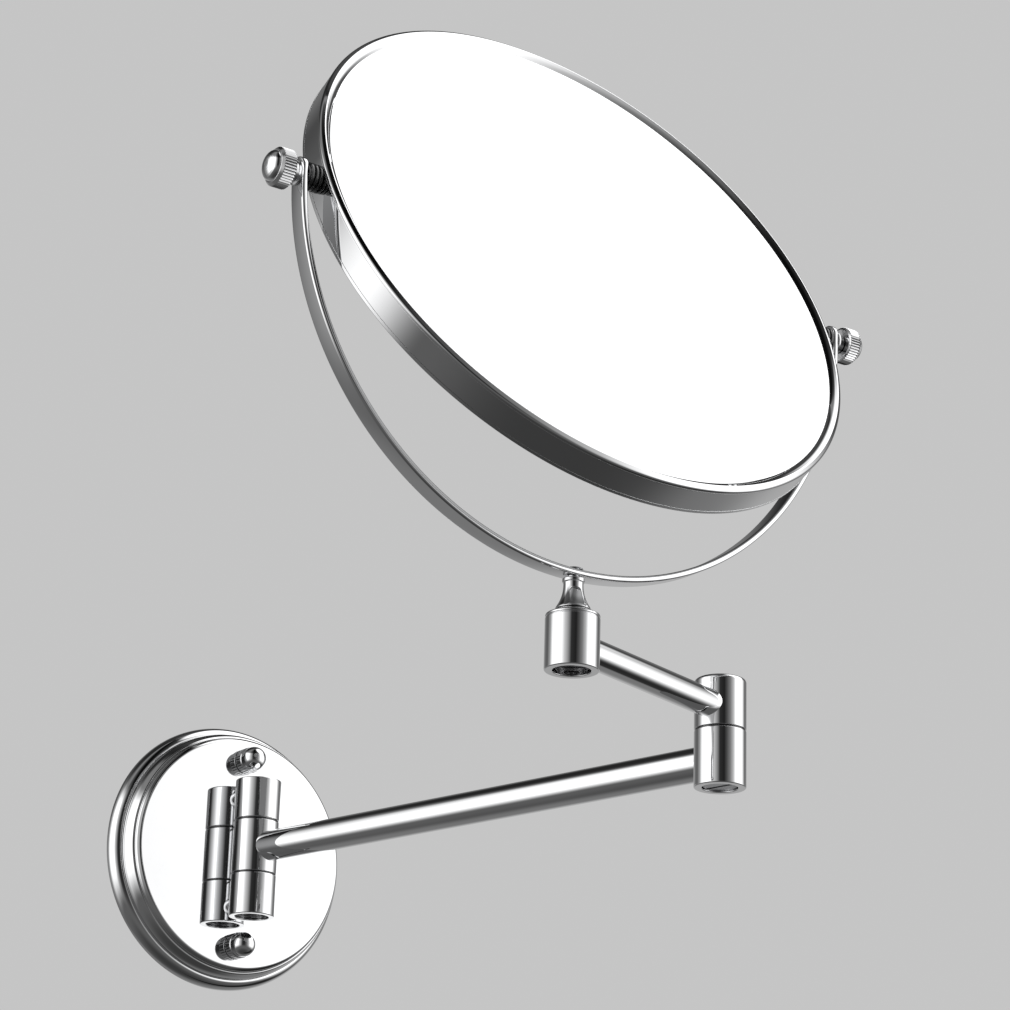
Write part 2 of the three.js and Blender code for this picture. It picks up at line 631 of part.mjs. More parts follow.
for (let step = dishSteps; step >= 0; step -= 1) {
  const share = step / dishSteps;
  const sag = MAGNIFIER_DISH * (1 - share ** 2);
  magnifierPoints.push([glassRadius * share, -glassFront + sag + MAGNIFIER_THICKNESS]);
}
add(mirror, "glass_magnifying", turned(magnifierPoints, OUT, FACETS_LARGE), silvered);
const boardFront = glassFront - GLASS_THICKNESS - GAP;
const boardBack = boardFront - BOARD_THICKNESS;
const backing = bar(glassRadius - BOARD_MARGIN, boardBack, boardFront, OUT, FACETS_PLATE);
add(mirror, "backing_board", backing, board);

// Pivots and knobs at the two ends of the pivot axis
const spacerRoot = bandFace + GAP;
const spacerShoulder = RIM_RADIUS + GAP;
const spacerEnd = yokeInner - GAP;
const neckStart = yokeOuter + GAP;
const neckEnd = neckStart + NECK_LENGTH;
const knobStart = neckEnd + GAP;
const boreRadius = PIVOT_RADIUS + GAP;
const spacerStem = halfDepth - BEZEL_SKIRT - GAP;
const toothed = new THREE.Shape();
for (let tooth = 0; tooth < 2 * KNURL_TEETH; tooth += 1) {
  const angle = (tooth / KNURL_TEETH) * Math.PI;
  const radius = tooth % 2 ? KNOB_RADIUS - KNURL_DEPTH : KNOB_RADIUS;
  const point = [radius * Math.cos(angle), radius * Math.sin(angle)];
  if (tooth === 0) toothed.moveTo(...point);
  else toothed.lineTo(...point);
}
toothed.closePath();
for (const [word, axis, turn] of [["left", LEFT, -1], ["right", RIGHT, 1]]) {
  const studRoot = glassRadius + GAP / 2;
  const stud = bar(PIVOT_RADIUS, studRoot, knobStart + KNOB_GRIP, axis, FACETS_HOLE);
  add(mirror, `pivot_stud_${word}`, stud, steel);

  const ribPitch = (spacerEnd - spacerShoulder) / (2 * SPACER_RIBS);
  const spacerPoints = [[boreRadius, spacerRoot], [spacerStem, spacerRoot], [spacerStem, spacerShoulder]];
  for (let rib = 0; rib < SPACER_RIBS; rib += 1) {
    const at = spacerShoulder + 2 * rib * ribPitch;
    spacerPoints.push([SPACER_RADIUS, at], [SPACER_RADIUS, at + ribPitch]);
    spacerPoints.push([SPACER_RADIUS - SPACER_RIB_DEPTH, at + ribPitch]);
    spacerPoints.push([SPACER_RADIUS - SPACER_RIB_DEPTH, at + 2 * ribPitch]);
  }
  spacerPoints.push([boreRadius, spacerEnd], [boreRadius, spacerRoot]);
  add(mirror, `pivot_spacer_${word}`, turned(spacerPoints, axis, FACETS_SMALL), dark);

  const neck = ring(boreRadius, NECK_RADIUS, neckStart, neckEnd, axis);
  add(yoke, `knob_washer_${word}`, moved(neck, 0, 0, mirrorHeight), dark);

  const knobEnd = knobStart + KNOB_LENGTH;
  const bandStart = knobStart + KNURL_DEPTH * 2;
  const bandEnd = bandStart + KNOB_BAND;
  const coreRadius = KNOB_RADIUS - 2 * KNURL_DEPTH;
  const core = turned(
    [
      [0, knobStart],
      [coreRadius, knobStart],
      [coreRadius, bandEnd],
      [KNOB_DOME_RADIUS, bandEnd + KNOB_BEVEL],
      [KNOB_DOME_RADIUS, knobEnd - KNOB_DOME_HEIGHT],
      [KNOB_CROWN_RADIUS, knobEnd - KNOB_CROWN_HEIGHT],
      [0, knobEnd],
    ],
    axis,
    FACETS_BODY,
  );
  const knurl = new THREE.ExtrudeGeometry(toothed, { depth: KNOB_BAND, bevelEnabled: false });
  knurl.translate(0, 0, bandStart);
  knurl.rotateY(turn * Math.PI / 2);
  const bore = bar(boreRadius, knobStart - BITE, knobStart + KNOB_GRIP + GAP, axis, FACETS_HOLE);
  add(mirror, `thumb_knob_${word}`, cut(joined(core, knurl), bore), brushed);
}

export default shavingMirror;
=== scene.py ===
"""Extendable shaving mirror: the polished surface of a wall mirror on a folding arm.

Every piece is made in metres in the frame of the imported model. Heights and places come from the
frame's nodes and joints, and the diameters and finishes are settings of the add-on.
"""

import json
import math

import bmesh
import bpy
from bpy.props import FloatProperty, FloatVectorProperty, IntProperty, PointerProperty
from mathutils import Matrix, Vector


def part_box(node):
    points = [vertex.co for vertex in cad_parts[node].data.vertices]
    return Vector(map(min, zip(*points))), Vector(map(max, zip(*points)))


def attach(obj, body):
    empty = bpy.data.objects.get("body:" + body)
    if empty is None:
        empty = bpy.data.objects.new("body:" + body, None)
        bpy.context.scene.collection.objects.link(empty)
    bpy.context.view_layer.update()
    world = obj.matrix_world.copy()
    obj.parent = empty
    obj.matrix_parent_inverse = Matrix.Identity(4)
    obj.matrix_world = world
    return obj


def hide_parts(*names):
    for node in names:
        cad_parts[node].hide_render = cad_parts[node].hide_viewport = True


bl_info = {
    "name": "Shaving mirror",
    "version": (1, 0, 0),
    "blender": (4, 5, 0),
    "location": "3D View > Sidebar > Mirror",
    "description": "Builds a wall shaving mirror on a folding chrome arm",
    "category": "Add Mesh",
}

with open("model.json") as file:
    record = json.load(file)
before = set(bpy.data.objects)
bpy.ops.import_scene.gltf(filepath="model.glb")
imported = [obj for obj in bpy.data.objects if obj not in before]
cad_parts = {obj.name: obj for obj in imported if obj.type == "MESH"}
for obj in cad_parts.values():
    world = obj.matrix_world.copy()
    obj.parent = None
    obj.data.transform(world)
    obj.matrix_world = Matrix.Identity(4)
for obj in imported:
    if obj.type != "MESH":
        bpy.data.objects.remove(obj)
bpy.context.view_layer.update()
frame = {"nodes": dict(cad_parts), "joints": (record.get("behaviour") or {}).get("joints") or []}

MM = 0.001
TAU = 2 * math.pi
UP = Vector((0, 0, 1))
OUT = Vector((0, -1, 0))

STEPS_SMALL = 64
STEPS_BODY = 128
STEPS_PLATE = 256
STEPS_RIM = 320
SUPPORT = 0.12 * MM  # from a corner to the extra edge beside it
LARGE_ROUNDING = 2 * MM  # from here a rounding takes more segments
BARREL_BORE = 4.3 * MM
PIVOT_BORE = 3.8 * MM
STUD_BORE = 2.2 * MM
SINK = 2.2 * MM  # how far a rod reaches into a turned body

JOINTS = {joint["name"]: joint for joint in frame["joints"]}
HINGE = Vector(JOINTS["wall_hinge"]["pos_m"])
ELBOW = Vector(JOINTS["elbow"]["pos_m"])
SWIVEL = Vector(JOINTS["yoke_swivel"]["pos_m"])
PIVOT = Vector(JOINTS["mirror_tilt"]["pos_m"])
PIVOT_AXIS = Vector(JOINTS["mirror_tilt"]["axis"]).normalized()
LONG_WAY = (ELBOW - HINGE).normalized()
SHORT_WAY = (SWIVEL - ELBOW).normalized()


def low(node):
    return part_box(node)[0].z


def high(node):
    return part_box(node)[1].z


def middle(node):
    lowest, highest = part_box(node)
    return (lowest + highest) / 2


FACING = (middle("glass_plain") - middle("backing_board")).normalized()


# ---------------------------------------------------------------- settings


def length(name, description, millimetres):
    return FloatProperty(
        name=name, description=description, default=millimetres * MM, min=0, unit="LENGTH"
    )


class PlateSettings(bpy.types.PropertyGroup):
    back_radius: length("Back radius", "Radius where the plate meets the wall", 52.2)
    band_step: length("Band step", "Step from the back band to the second band", 3.4)
    second_step: length("Second step", "Step from the second band to the bevel", 2.5)
    bevel: length("Bevel", "Width of the bevel round the flat face", 1.2)
    nut_radius: length("Nut radius", "Radius of a cap nut's dome", 4.8)
    nut_skirt: length("Nut skirt", "Length of a cap nut's knurled skirt", 3.6)
    nut_offset: length("Nut offset", "Cap nuts above and below the centre", 37)


class ArmSettings(bpy.types.PropertyGroup):
    body_radius: length("Body radius", "Radius of the hinge barrel, elbow and collar", 9)
    post_radius: length("Post radius", "Radius of the posts behind the hinge barrel", 4.5)
    recess_radius: length("Recess radius", "Radius of the recesses below the bodies", 6.6)
    long_radius: length("Long arm radius", "Radius of the long arm's tube", 6)
    short_radius: length("Short arm radius", "Radius of the short arm's rod", 5)
    edge: length("Edge", "Rounding of the turned bodies' edges", 0.5)
    joint: length("Joint", "How far each turned face reaches towards its washer", 0.25)
    stem_base: length("Stem base", "Radius of the swivel stem's foot", 5.9)
    stem_neck: length("Stem neck", "Radius of the swivel stem's neck", 3.3)


class MirrorSettings(bpy.types.PropertyGroup):
    rim_radius: length("Rim radius", "Outside radius of the bezels", 104)
    rim_depth: length("Rim depth", "Depth of the mirror's rim", 12.4)
    bezel_lip: length("Bezel lip", "Width of the bezel seen from the front", 4.4)
    bezel_skirt: length("Bezel skirt", "Depth of each bezel over the rim", 1.8)
    glass_radius: length("Glass radius", "Radius of each glass", 100.9)
    glass_depth: length("Glass depth", "Glass behind the front edge of the rim", 1.3)
    dish: length("Dish", "Depth of the magnifying glass's hollow", 3.8)
    yoke_width: length("Yoke width", "Width of the yoke's band", 7.4)
    yoke_thickness: length("Yoke thickness", "Thickness of the yoke's band", 2.2)
    yoke_clearance: length("Yoke clearance", "From the bezel to the yoke", 5.2)
    yoke_end_rise: length("Yoke end rise", "Centre of the rounded end above the pivot", 2)


class KnobSettings(bpy.types.PropertyGroup):
    radius: length("Knob radius", "Radius over the knurl", 6.5)
    dome_radius: length("Dome radius", "Radius of the domed end", 5.1)
    band: length("Knurled band", "Length of the knurled band", 4.2)
    depth: length("Knurl depth", "Depth of the knurl's grooves", 0.45)
    teeth: IntProperty(name="Teeth", description="Ridges round the knurl", default=42, min=8)
    neck_radius: length("Neck radius", "Radius of the neck below the knob", 3.6)
    spacer_radius: length("Spacer radius", "Radius of the ribbed spacer", 4.5)


class FinishSettings(bpy.types.PropertyGroup):
    chrome: FloatVectorProperty(
        name="Chrome", description="Colour of the polished chrome", subtype="COLOR",
        default=(0.9, 0.903, 0.91), min=0, max=1,
    )
    silver: FloatVectorProperty(
        name="Silvering", description="Colour of the mirror's silvering", subtype="COLOR",
        default=(0.97, 0.975, 0.98), min=0, max=1,
    )
    chrome_roughness: FloatProperty(
        name="Chrome roughness", description="Roughness of the polished chrome",
        default=0.012, min=0, max=1,
    )


class StudioSettings(bpy.types.PropertyGroup):
    camera_place: FloatVectorProperty(
        name="Camera", description="Where the camera stands", subtype="TRANSLATION",
        default=(-0.604883, -1.015633, -0.260413), unit="LENGTH",
    )
    heading: FloatProperty(
        name="Heading", description="Turn of the view to the right of straight at the wall",
        default=math.radians(36.026), subtype="ANGLE",
    )
    rise: FloatProperty(
        name="Rise", description="How far the view looks up",
        default=math.radians(19.321), subtype="ANGLE",
    )
    lean: FloatProperty(
        name="Lean", description="Roll of the camera",
        default=math.radians(1.683), subtype="ANGLE",
    )
    lens: FloatProperty(name="Lens", description="Focal length in millimetres", default=107.478)
    floor_drop: length("Floor drop", "Floor below the origin", 900)
    strips: FloatProperty(
        name="Strip lights", description="Brightness of the upright strip lights",
        default=1.5, min=0,
    )
    overhead: FloatVectorProperty(
        name="Overhead direction", description="Direction of the box over the mirror",
        subtype="DIRECTION", default=(0.53, -0.27, 0.81),
    )
    overhead_light: FloatProperty(
        name="Overhead light", description="Brightness of the box over the mirror",
        default=1.5, min=0,
    )
    backdrop: FloatProperty(
        name="Backdrop", description="Brightness of the plain backdrop", default=0.56, min=0,
    )


# brightness of the strip lights by turn in degrees, 0 behind the camera and 90 to its right
STRIPS = (
    (-180, 0.3), (-160, 0.25), (-142, 0.12), (-122, 0.08), (-104, 0.24), (-88, 0.86),
    (-62, 1.0), (-48, 0.86), (-33, 0.42), (-18, 0.2), (-6, 0.02), (14, 0.01), (26, 0.05),
    (41, 0.14), (56, 0.36), (69, 0.88), (90, 1.0), (106, 0.86), (117, 0.38), (130, 0.1),
    (145, 0.15), (158, 0.27), (180, 0.3),
)

GROUPS = {
    "plate": PlateSettings,
    "arm": ArmSettings,
    "mirror": MirrorSettings,
    "knob": KnobSettings,
    "finish": FinishSettings,
    "studio": StudioSettings,
}


class ShavingMirrorSettings(bpy.types.PropertyGroup):
    plate: PointerProperty(type=PlateSettings)
    arm: PointerProperty(type=ArmSettings)
    mirror: PointerProperty(type=MirrorSettings)
    knob: PointerProperty(type=KnobSettings)
    finish: PointerProperty(type=FinishSettings)
    studio: PointerProperty(type=StudioSettings)


# ---------------------------------------------------------------- shader maths


class Flow:
    """A socket that takes part in Python expressions."""

    def __init__(self, graph, socket):
        self.graph = graph
        self.socket = socket

    def _maths(self, operation, first, second=None):
        inputs = [first] if second is None else [first, second]
        return self.graph.add("ShaderNodeMath", {"operation": operation}, inputs)

    def __add__(self, other):
        return self._maths("ADD", self, other)

    def __radd__(self, other):
        return self._maths("ADD", other, self)

    def __sub__(self, other):
        return self._maths("SUBTRACT", self, other)

    def __rsub__(self, other):
        return self._maths("SUBTRACT", other, self)

    def __mul__(self, other):
        return self._maths("MULTIPLY", self, other)

    def __rmul__(self, other):
        return self._maths("MULTIPLY", other, self)

    def __truediv__(self, other):
        return self._maths("DIVIDE", self, other)

    def between(self, start, end):
        """0 before start, 1 after end, smooth between."""
        return self.graph.add(
            "ShaderNodeMapRange",
            {"interpolation_type": "SMOOTHSTEP"},
            {"Value": self, "From Min": start, "From Max": end},
        )


class Graph:
    """A node tree that is filled node by node."""

    def __init__(self, tree):
        self.tree = tree
        tree.nodes.clear()

    def parts(self, vector):
        node = self.add("ShaderNodeSeparateXYZ", inputs=[vector]).socket.node
        return [Flow(self, output) for output in node.outputs]

    def add(self, kind, settings=None, inputs=None, output=0):
        node = self.tree.nodes.new(kind)
        for key, value in (settings or {}).items():
            if key == "stops":
                ramp = node.color_ramp
                while len(ramp.elements) > 1:
                    ramp.elements.remove(ramp.elements[-1])
                ramp.elements[0].position, ramp.elements[0].color = value[0]
                for place, colour in value[1:]:
                    ramp.elements.new(place).color = colour
            else:
                setattr(node, key, value)
        pairs = inputs.items() if isinstance(inputs, dict) else enumerate(inputs or [])
        for key, value in pairs:
            if isinstance(value, Flow):
                self.tree.links.new(value.socket, node.inputs[key])
            else:
                node.inputs[key].default_value = value
        return Flow(self, node.outputs[output]) if len(node.outputs) else None


def new_material(name):
    material = bpy.data.materials.new(name)
    material.use_nodes = True
    return material, Graph(material.node_tree)


def grey(value):
    return (value, value, value, 1)


def rgba(colour):
    return (colour[0], colour[1], colour[2], 1)


def close(graph, surface):
    graph.add("ShaderNodeOutputMaterial", inputs={"Surface": surface})


def noise(graph, place, scale, detail=3, roughness=0.55):
    return graph.add(
        "ShaderNodeTexNoise",
        inputs={"Vector": place, "Scale": scale, "Detail": detail, "Roughness": roughness},
    )


def object_place(graph):
    return graph.add("ShaderNodeTexCoord", output=3)


def tint(graph, mask, first, second):
    return graph.add(
        "ShaderNodeMix",
        {"data_type": "RGBA"},
        {0: mask, 6: rgba(first), 7: rgba(second)},
        output=2,
    )


def polished(name, colour, roughness, haze=0.02, grain=0.05, scale=900):
    """Bright plated metal with a faint polishing haze and a few fine marks."""
    material, graph = new_material(name)
    place = object_place(graph)
    cloud = noise(graph, place, 28, 4)
    marks = noise(graph, place, scale, 2).between(0.62, 0.8)
    shade = tint(graph, cloud.between(0.35, 0.7), colour, [c * 0.965 for c in colour])
    rough = cloud * haze + marks * 0.02 + roughness
    bump = graph.add(
        "ShaderNodeBump", inputs={"Strength": grain, "Distance": 0.00002, "Height": cloud}
    )
    surface = graph.add(
        "ShaderNodeBsdfPrincipled",
        inputs={"Base Color": shade, "Metallic": 1.0, "Roughness": rough, "Normal": bump},
    )
    close(graph, surface)
    return material


def satin_steel(name, colour, roughness):
    """Turned or plated steel with a fine random grain."""
    material, graph = new_material(name)
    place = object_place(graph)
    grain = noise(graph, place, 1800, 4, 0.7)
    patch = noise(graph, place, 90, 3)
    shade = tint(graph, patch.between(0.3, 0.75), colour, [c * 0.8 for c in colour])
    bump = graph.add(
        "ShaderNodeBump", inputs={"Strength": 0.25, "Distance": 0.00004, "Height": grain}
    )
    surface = graph.add(
        "ShaderNodeBsdfPrincipled",
        inputs={
            "Base Color": shade,
            "Metallic": 1.0,
            "Roughness": grain * 0.15 + roughness,
            "Normal": bump,
        },
    )
    close(graph, surface)
    return material


def black_nylon(name, colour):
    """Moulded black nylon, slightly glossy on its ribs."""
    material, graph = new_material(name)
    place = object_place(graph)
    grain = noise(graph, place, 1400, 3)
    patch = noise(graph, place, 160, 2)
    shade = tint(graph, patch.between(0.35, 0.7), colour, [c * 1.9 for c in colour])
    bump = graph.add(
        "ShaderNodeBump", inputs={"Strength": 0.3, "Distance": 0.00005, "Height": grain}
    )
    surface = graph.add(
        "ShaderNodeBsdfPrincipled",
        inputs={
            "Base Color": shade,
            "Roughness": grain * 0.1 + 0.16,
            "IOR": 1.65,
            "Coat Weight": 0.8,
            "Coat Roughness": 0.06,
            "Normal": bump,
        },
    )
    close(graph, surface)
    return material


def silvered_glass(name, colour):
    """Silvered float glass: a clear coat over bright silvering, with a trace of haze."""
    material, graph = new_material(name)
    place = object_place(graph)
    cloud = noise(graph, place, 9, 2)
    shade = tint(graph, cloud.between(0.3, 0.8), colour, [c * 0.99 for c in colour])
    surface = graph.add(
        "ShaderNodeBsdfPrincipled",
        inputs={
            "Base Color": shade,
            "Metallic": 1.0,
            "Roughness": cloud * 0.008 + 0.003,
            "Coat Weight": 0.6,
            "Coat Roughness": 0.01,
        },
    )
    close(graph, surface)
    return material


def pressed_board(name, colour):
    """Grey backing board with a short fibre grain."""
    material, graph = new_material(name)
    place = object_place(graph)
    fibre = noise(graph, place, 700, 5, 0.7)
    shade = tint(graph, fibre.between(0.3, 0.7), colour, [c * 0.6 for c in colour])
    bump = graph.add(
        "ShaderNodeBump", inputs={"Strength": 0.4, "Distance": 0.0001, "Height": fibre}
    )
    surface = graph.add(
        "ShaderNodeBsdfPrincipled",
        inputs={"Base Color": shade, "Roughness": fibre * 0.1 + 0.8, "Normal": bump},
    )
    close(graph, surface)
    return material


FINISHES = {}


def finish(name):
    """The material of that name, made the first time it is asked for."""
    if name not in FINISHES:
        chosen = bpy.context.scene.shaving_mirror.finish
        chrome = tuple(chosen.chrome)
        rough = chosen.chrome_roughness
        makers = {
            "chrome": lambda: polished(name, chrome, rough),
            "knurled_chrome": lambda: polished(name, chrome, rough + 0.05, 0.06, 0.2, 1500),
            "steel": lambda: satin_steel(name, (0.56, 0.57, 0.585), 0.22),
            "blackened_steel": lambda: satin_steel(name, (0.13, 0.13, 0.135), 0.28),
            "black_nylon": lambda: black_nylon(name, (0.012, 0.012, 0.013)),
            "silvered_glass": lambda: silvered_glass(name, tuple(chosen.silver)),
            "pressed_board": lambda: pressed_board(name, (0.3, 0.28, 0.25)),
        }
        FINISHES[name] = makers[name]()
    return FINISHES[name]


# ---------------------------------------------------------------- mesh tools


def along(axis, origin, across=None):
    """A matrix that puts local +Z on axis and the local origin at origin."""
    axis = axis.normalized()
    if across is None:
        return Matrix.Translation(origin) @ axis.to_track_quat("Z", "Y").to_matrix().to_4x4()
    side = (across - axis * across.dot(axis)).normalized()
    turn = Matrix((side, axis.cross(side), axis)).transposed()
    return Matrix.Translation(origin) @ turn.to_4x4()


def profile(bm, corners, support):
    """Joins corners (radius, distance, optional rounding) by edges and rounds them.

    Each long edge is split near its ends, so that the shading of the roundings stays beside them.
    """
    ring = corners[0][:2] == corners[-1][:2]
    kept = corners[:-1] if ring else corners
    verts = [bm.verts.new((corner[0], 0, corner[1])) for corner in kept]
    for first, second in zip(verts, verts[1:]):
        bm.edges.new((first, second))
    if ring:
        bm.edges.new((verts[-1], verts[0]))
    for vert, corner in zip(verts, kept):
        if len(corner) > 2 and corner[2] > 0:
            bmesh.ops.bevel(
                bm, geom=[vert], offset=corner[2], offset_type="OFFSET",
                segments=5 if corner[2] < LARGE_ROUNDING else 18,
                profile=0.5, affect="VERTICES", material=-1, clamp_overlap=True,
            )
    for edge in list(bm.edges):
        span = edge.calc_length()
        if span > 5 * support:
            far, split = bmesh.utils.edge_split(edge, edge.verts[0], support / span)
            rest = max(edge, far, key=lambda part: part.calc_length())
            bmesh.utils.edge_split(rest, rest.other_vert(split), support / rest.calc_length())


def turned(corners, origin, axis, steps=STEPS_BODY, support=SUPPORT):
    """A closed body turned from a profile round axis."""
    bm = bmesh.new()
    profile(bm, corners, support)
    bmesh.ops.spin(
        bm, geom=bm.verts[:] + bm.edges[:], cent=(0, 0, 0), axis=(0, 0, 1), angle=TAU,
        steps=steps, use_merge=True, use_duplicate=False,
    )
    bmesh.ops.remove_doubles(bm, verts=bm.verts, dist=1e-7)
    bmesh.ops.recalc_face_normals(bm, faces=bm.faces)
    bmesh.ops.transform(bm, matrix=along(axis, origin), verts=bm.verts)
    return bm


def bar(radius, start, end, origin, axis, edge=0.0, steps=STEPS_BODY):
    corners = [(0, start), (radius, start, edge), (radius, end, edge), (0, end)]
    return turned(corners, origin, axis, steps)


def ring(inner, outer, start, end, origin, axis, edge=0.0, steps=STEPS_BODY):
    corners = [
        (inner, start, edge), (outer, start, edge), (outer, end, edge), (inner, end, edge),
        (inner, start),
    ]
    return turned(corners, origin, axis, steps)


def knurl(bm, origin, axis, start, end, radius, depth, teeth):
    """Presses straight grooves into the band of a turned body between start and end."""
    turn = along(axis, origin)
    back = turn.inverted()
    for vert in bm.verts:
        local = back @ vert.co
        around = math.hypot(local.x, local.y)
        if start <= local.z <= end and around > radius * 0.97:
            groove = depth * (0.5 - 0.5 * math.cos(teeth * math.atan2(local.y, local.x)))
            local.x *= 1 - groove / around
            local.y *= 1 - groove / around
            vert.co = turn @ local


def piece(name, bm, body, material, replaces=(), sharp=38):
    """Makes the finished object, lets it ride on its body and stand for its nodes."""
    mesh = bpy.data.meshes.new(name)
    bm.to_mesh(mesh)
    bm.free()
    mesh.shade_smooth()
    mesh.set_sharp_from_angle(angle=math.radians(sharp))
    mesh.materials.append(finish(material))
    made = bpy.data.objects.new(name, mesh)
    bpy.context.scene.collection.objects.link(made)
    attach(made, body)
    if replaces:
        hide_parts(*replaces)
    return made


class MirrorOperator(bpy.types.Operator):
    """Base of the operators that each make one piece or group of pieces."""

    bl_options = {"REGISTER", "UNDO"}

    def weld(self, name, origin, way, arm, body, rod):
        """A smooth fillet round a rod where it enters a body of the arm."""
        start = arm.body_radius - SINK
        corners = [(rod - 0.3 * MM, start), (rod + 0.6 * MM, start)]
        for step in range(1, 9):
            share = step / 8
            spread = 0.6 * MM * (1 - share) ** 2 + 0.01 * MM
            corners.append((rod + spread, start + 2.4 * MM * share))
        corners += [(rod - 0.3 * MM, start + 2.4 * MM), (rod - 0.3 * MM, start)]
        piece(name, turned(corners, origin, way, support=1), body, "chrome")

    def execute(self, context):
        self.build(context.scene.shaving_mirror)
        return {"FINISHED"}


# ---------------------------------------------------------------- pieces


class SHAVING_OT_wall_plate(MirrorOperator):
    """The round wall plate with its two bands, bevel and polished face"""

    bl_idname = "shaving.wall_plate"
    bl_label = "Wall plate"

    def build(self, settings):
        plate = settings.plate
        depth = -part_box("wall_plate")[0].y
        wall = 1.5 * MM
        outer = plate.back_radius
        second = outer - plate.band_step
        bevel = second - plate.second_step
        face = bevel - plate.bevel
        band = depth * 0.42
        bevel_start = depth - plate.bevel
        corners = [
            (0, depth - wall),
            (face - wall, depth - wall),
            (bevel - wall, bevel_start - plate.bevel - wall),
            (second - wall, band),
            (outer - wall, band - wall),
            (outer - wall, 0, 0.2 * MM),
            (outer, 0, 0.3 * MM),
            (outer, band * 0.5, 1.6 * MM),
            (outer - plate.band_step * 0.42, band - 0.6 * MM, 1.3 * MM),
            (second + 0.5 * MM, band, 0.3 * MM),
            (second, band, 0.2 * MM),
            (second, band + 2.6 * MM, 1.6 * MM),
            (second - plate.second_step * 0.7, bevel_start - plate.bevel, 1.0 * MM),
            (bevel + 0.3 * MM, bevel_start - plate.bevel, 0.15 * MM),
            (bevel, bevel_start - plate.bevel + 0.3 * MM, 0.15 * MM),
            (bevel, bevel_start, 0.35 * MM),
            (face, depth, 0.5 * MM),
            (0, depth),
        ]
        body = turned(corners, Vector((0, 0, 0)), OUT, STEPS_PLATE)
        piece("plate_body", body, "wall_mount", "chrome", ["wall_plate"])


class SHAVING_OT_cap_nuts(MirrorOperator):
    """The two domed cap nuts with knurled skirts"""

    bl_idname = "shaving.cap_nuts"
    bl_label = "Cap nuts"

    def build(self, settings):
        plate = settings.plate
        for word, side in (("upper", 1), ("lower", -1)):
            lowest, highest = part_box(f"cap_nut_{word}")
            start, end = -highest.y, -lowest.y
            radius = plate.nut_radius
            skirt = radius + 0.3 * MM
            top = start + plate.nut_skirt
            corners = [
                (0, start),
                (skirt, start, 0.2 * MM),
                (skirt, start + 0.5 * MM),
                (skirt, top - 0.3 * MM),
                (skirt - 0.1 * MM, top, 0.1 * MM),
                (radius, top + 0.2 * MM, 0.15 * MM),
                (radius, end, radius * 0.98),
                (0, end),
            ]
            origin = Vector((0, 0, side * plate.nut_offset))
            nut = turned(corners, origin, OUT, steps=180)
            knurl(nut, origin, OUT, start + 0.4 * MM, top - 0.2 * MM, skirt, 0.14 * MM, 30)
            piece(f"domed_nut_{word}", nut, "wall_mount", "knurled_chrome",
                  [f"cap_nut_{word}"])


class SHAVING_OT_wall_hinge(MirrorOperator):
    """The fixed knuckles on their posts, the pin and the dark washers"""

    bl_idname = "shaving.wall_hinge"
    bl_label = "Wall hinge"

    def build(self, settings):
        arm = settings.arm
        radius = arm.body_radius
        edge = arm.edge
        recess = arm.recess_radius
        plate_face = -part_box("wall_plate")[0].y
        bottom, joint = low("knuckle_lower"), high("knuckle_lower") + arm.joint
        head = bottom + 1.8 * MM
        lower = turned(
            [
                (BARREL_BORE, joint), (BARREL_BORE, head + 3 * MM), (recess, head + 3 * MM),
                (recess, bottom, edge * 0.6), (radius, bottom, edge * 0.8),
                (radius, joint, 0.25 * MM), (BARREL_BORE, joint),
            ],
            Vector((HINGE.x, HINGE.y, 0)), UP,
        )
        piece("barrel_lower", lower, "wall_mount", "chrome", ["knuckle_lower"])
        start, end = low("knuckle_upper") - arm.joint, high("knuckle_upper")
        upper = bar(radius, start, end, Vector((HINGE.x, HINGE.y, 0)), UP, edge)
        piece("barrel_upper", upper, "wall_mount", "chrome", ["knuckle_upper"])
        for word, side in (("upper", 1), ("lower", -1)):
            height = middle(f"post_screw_{word}").z
            post = bar(arm.post_radius, plate_face + 0.02 * MM, -HINGE.y - 6.9 * MM,
                       Vector((0, 0, height)), OUT, 0.1 * MM)
            piece(f"barrel_post_{word}", post, "wall_mount", "chrome")
            node = f"hinge_washer_{word}"
            washer = ring(BARREL_BORE, radius - 0.3 * MM, low(node), high(node),
                          Vector((HINGE.x, HINGE.y, 0)), UP, 0.1 * MM)
            piece(f"barrel_washer_{word}", washer, "wall_mount", "black_nylon", [node])
        pin = turned(
            [
                (0, head + 0.9 * MM), (2.4 * MM, head + 0.9 * MM, 0.2 * MM),
                (2.9 * MM, head, 0.2 * MM), (recess - 0.3 * MM, head, 0.4 * MM),
                (recess - 0.3 * MM, head + 2.8 * MM), (4 * MM, head + 2.8 * MM),
                (4 * MM, high("hinge_pin")), (0, high("hinge_pin")),
            ],
            Vector((HINGE.x, HINGE.y, 0)), UP,
        )
        piece("barrel_pin", pin, "wall_mount", "blackened_steel", ["hinge_pin"])


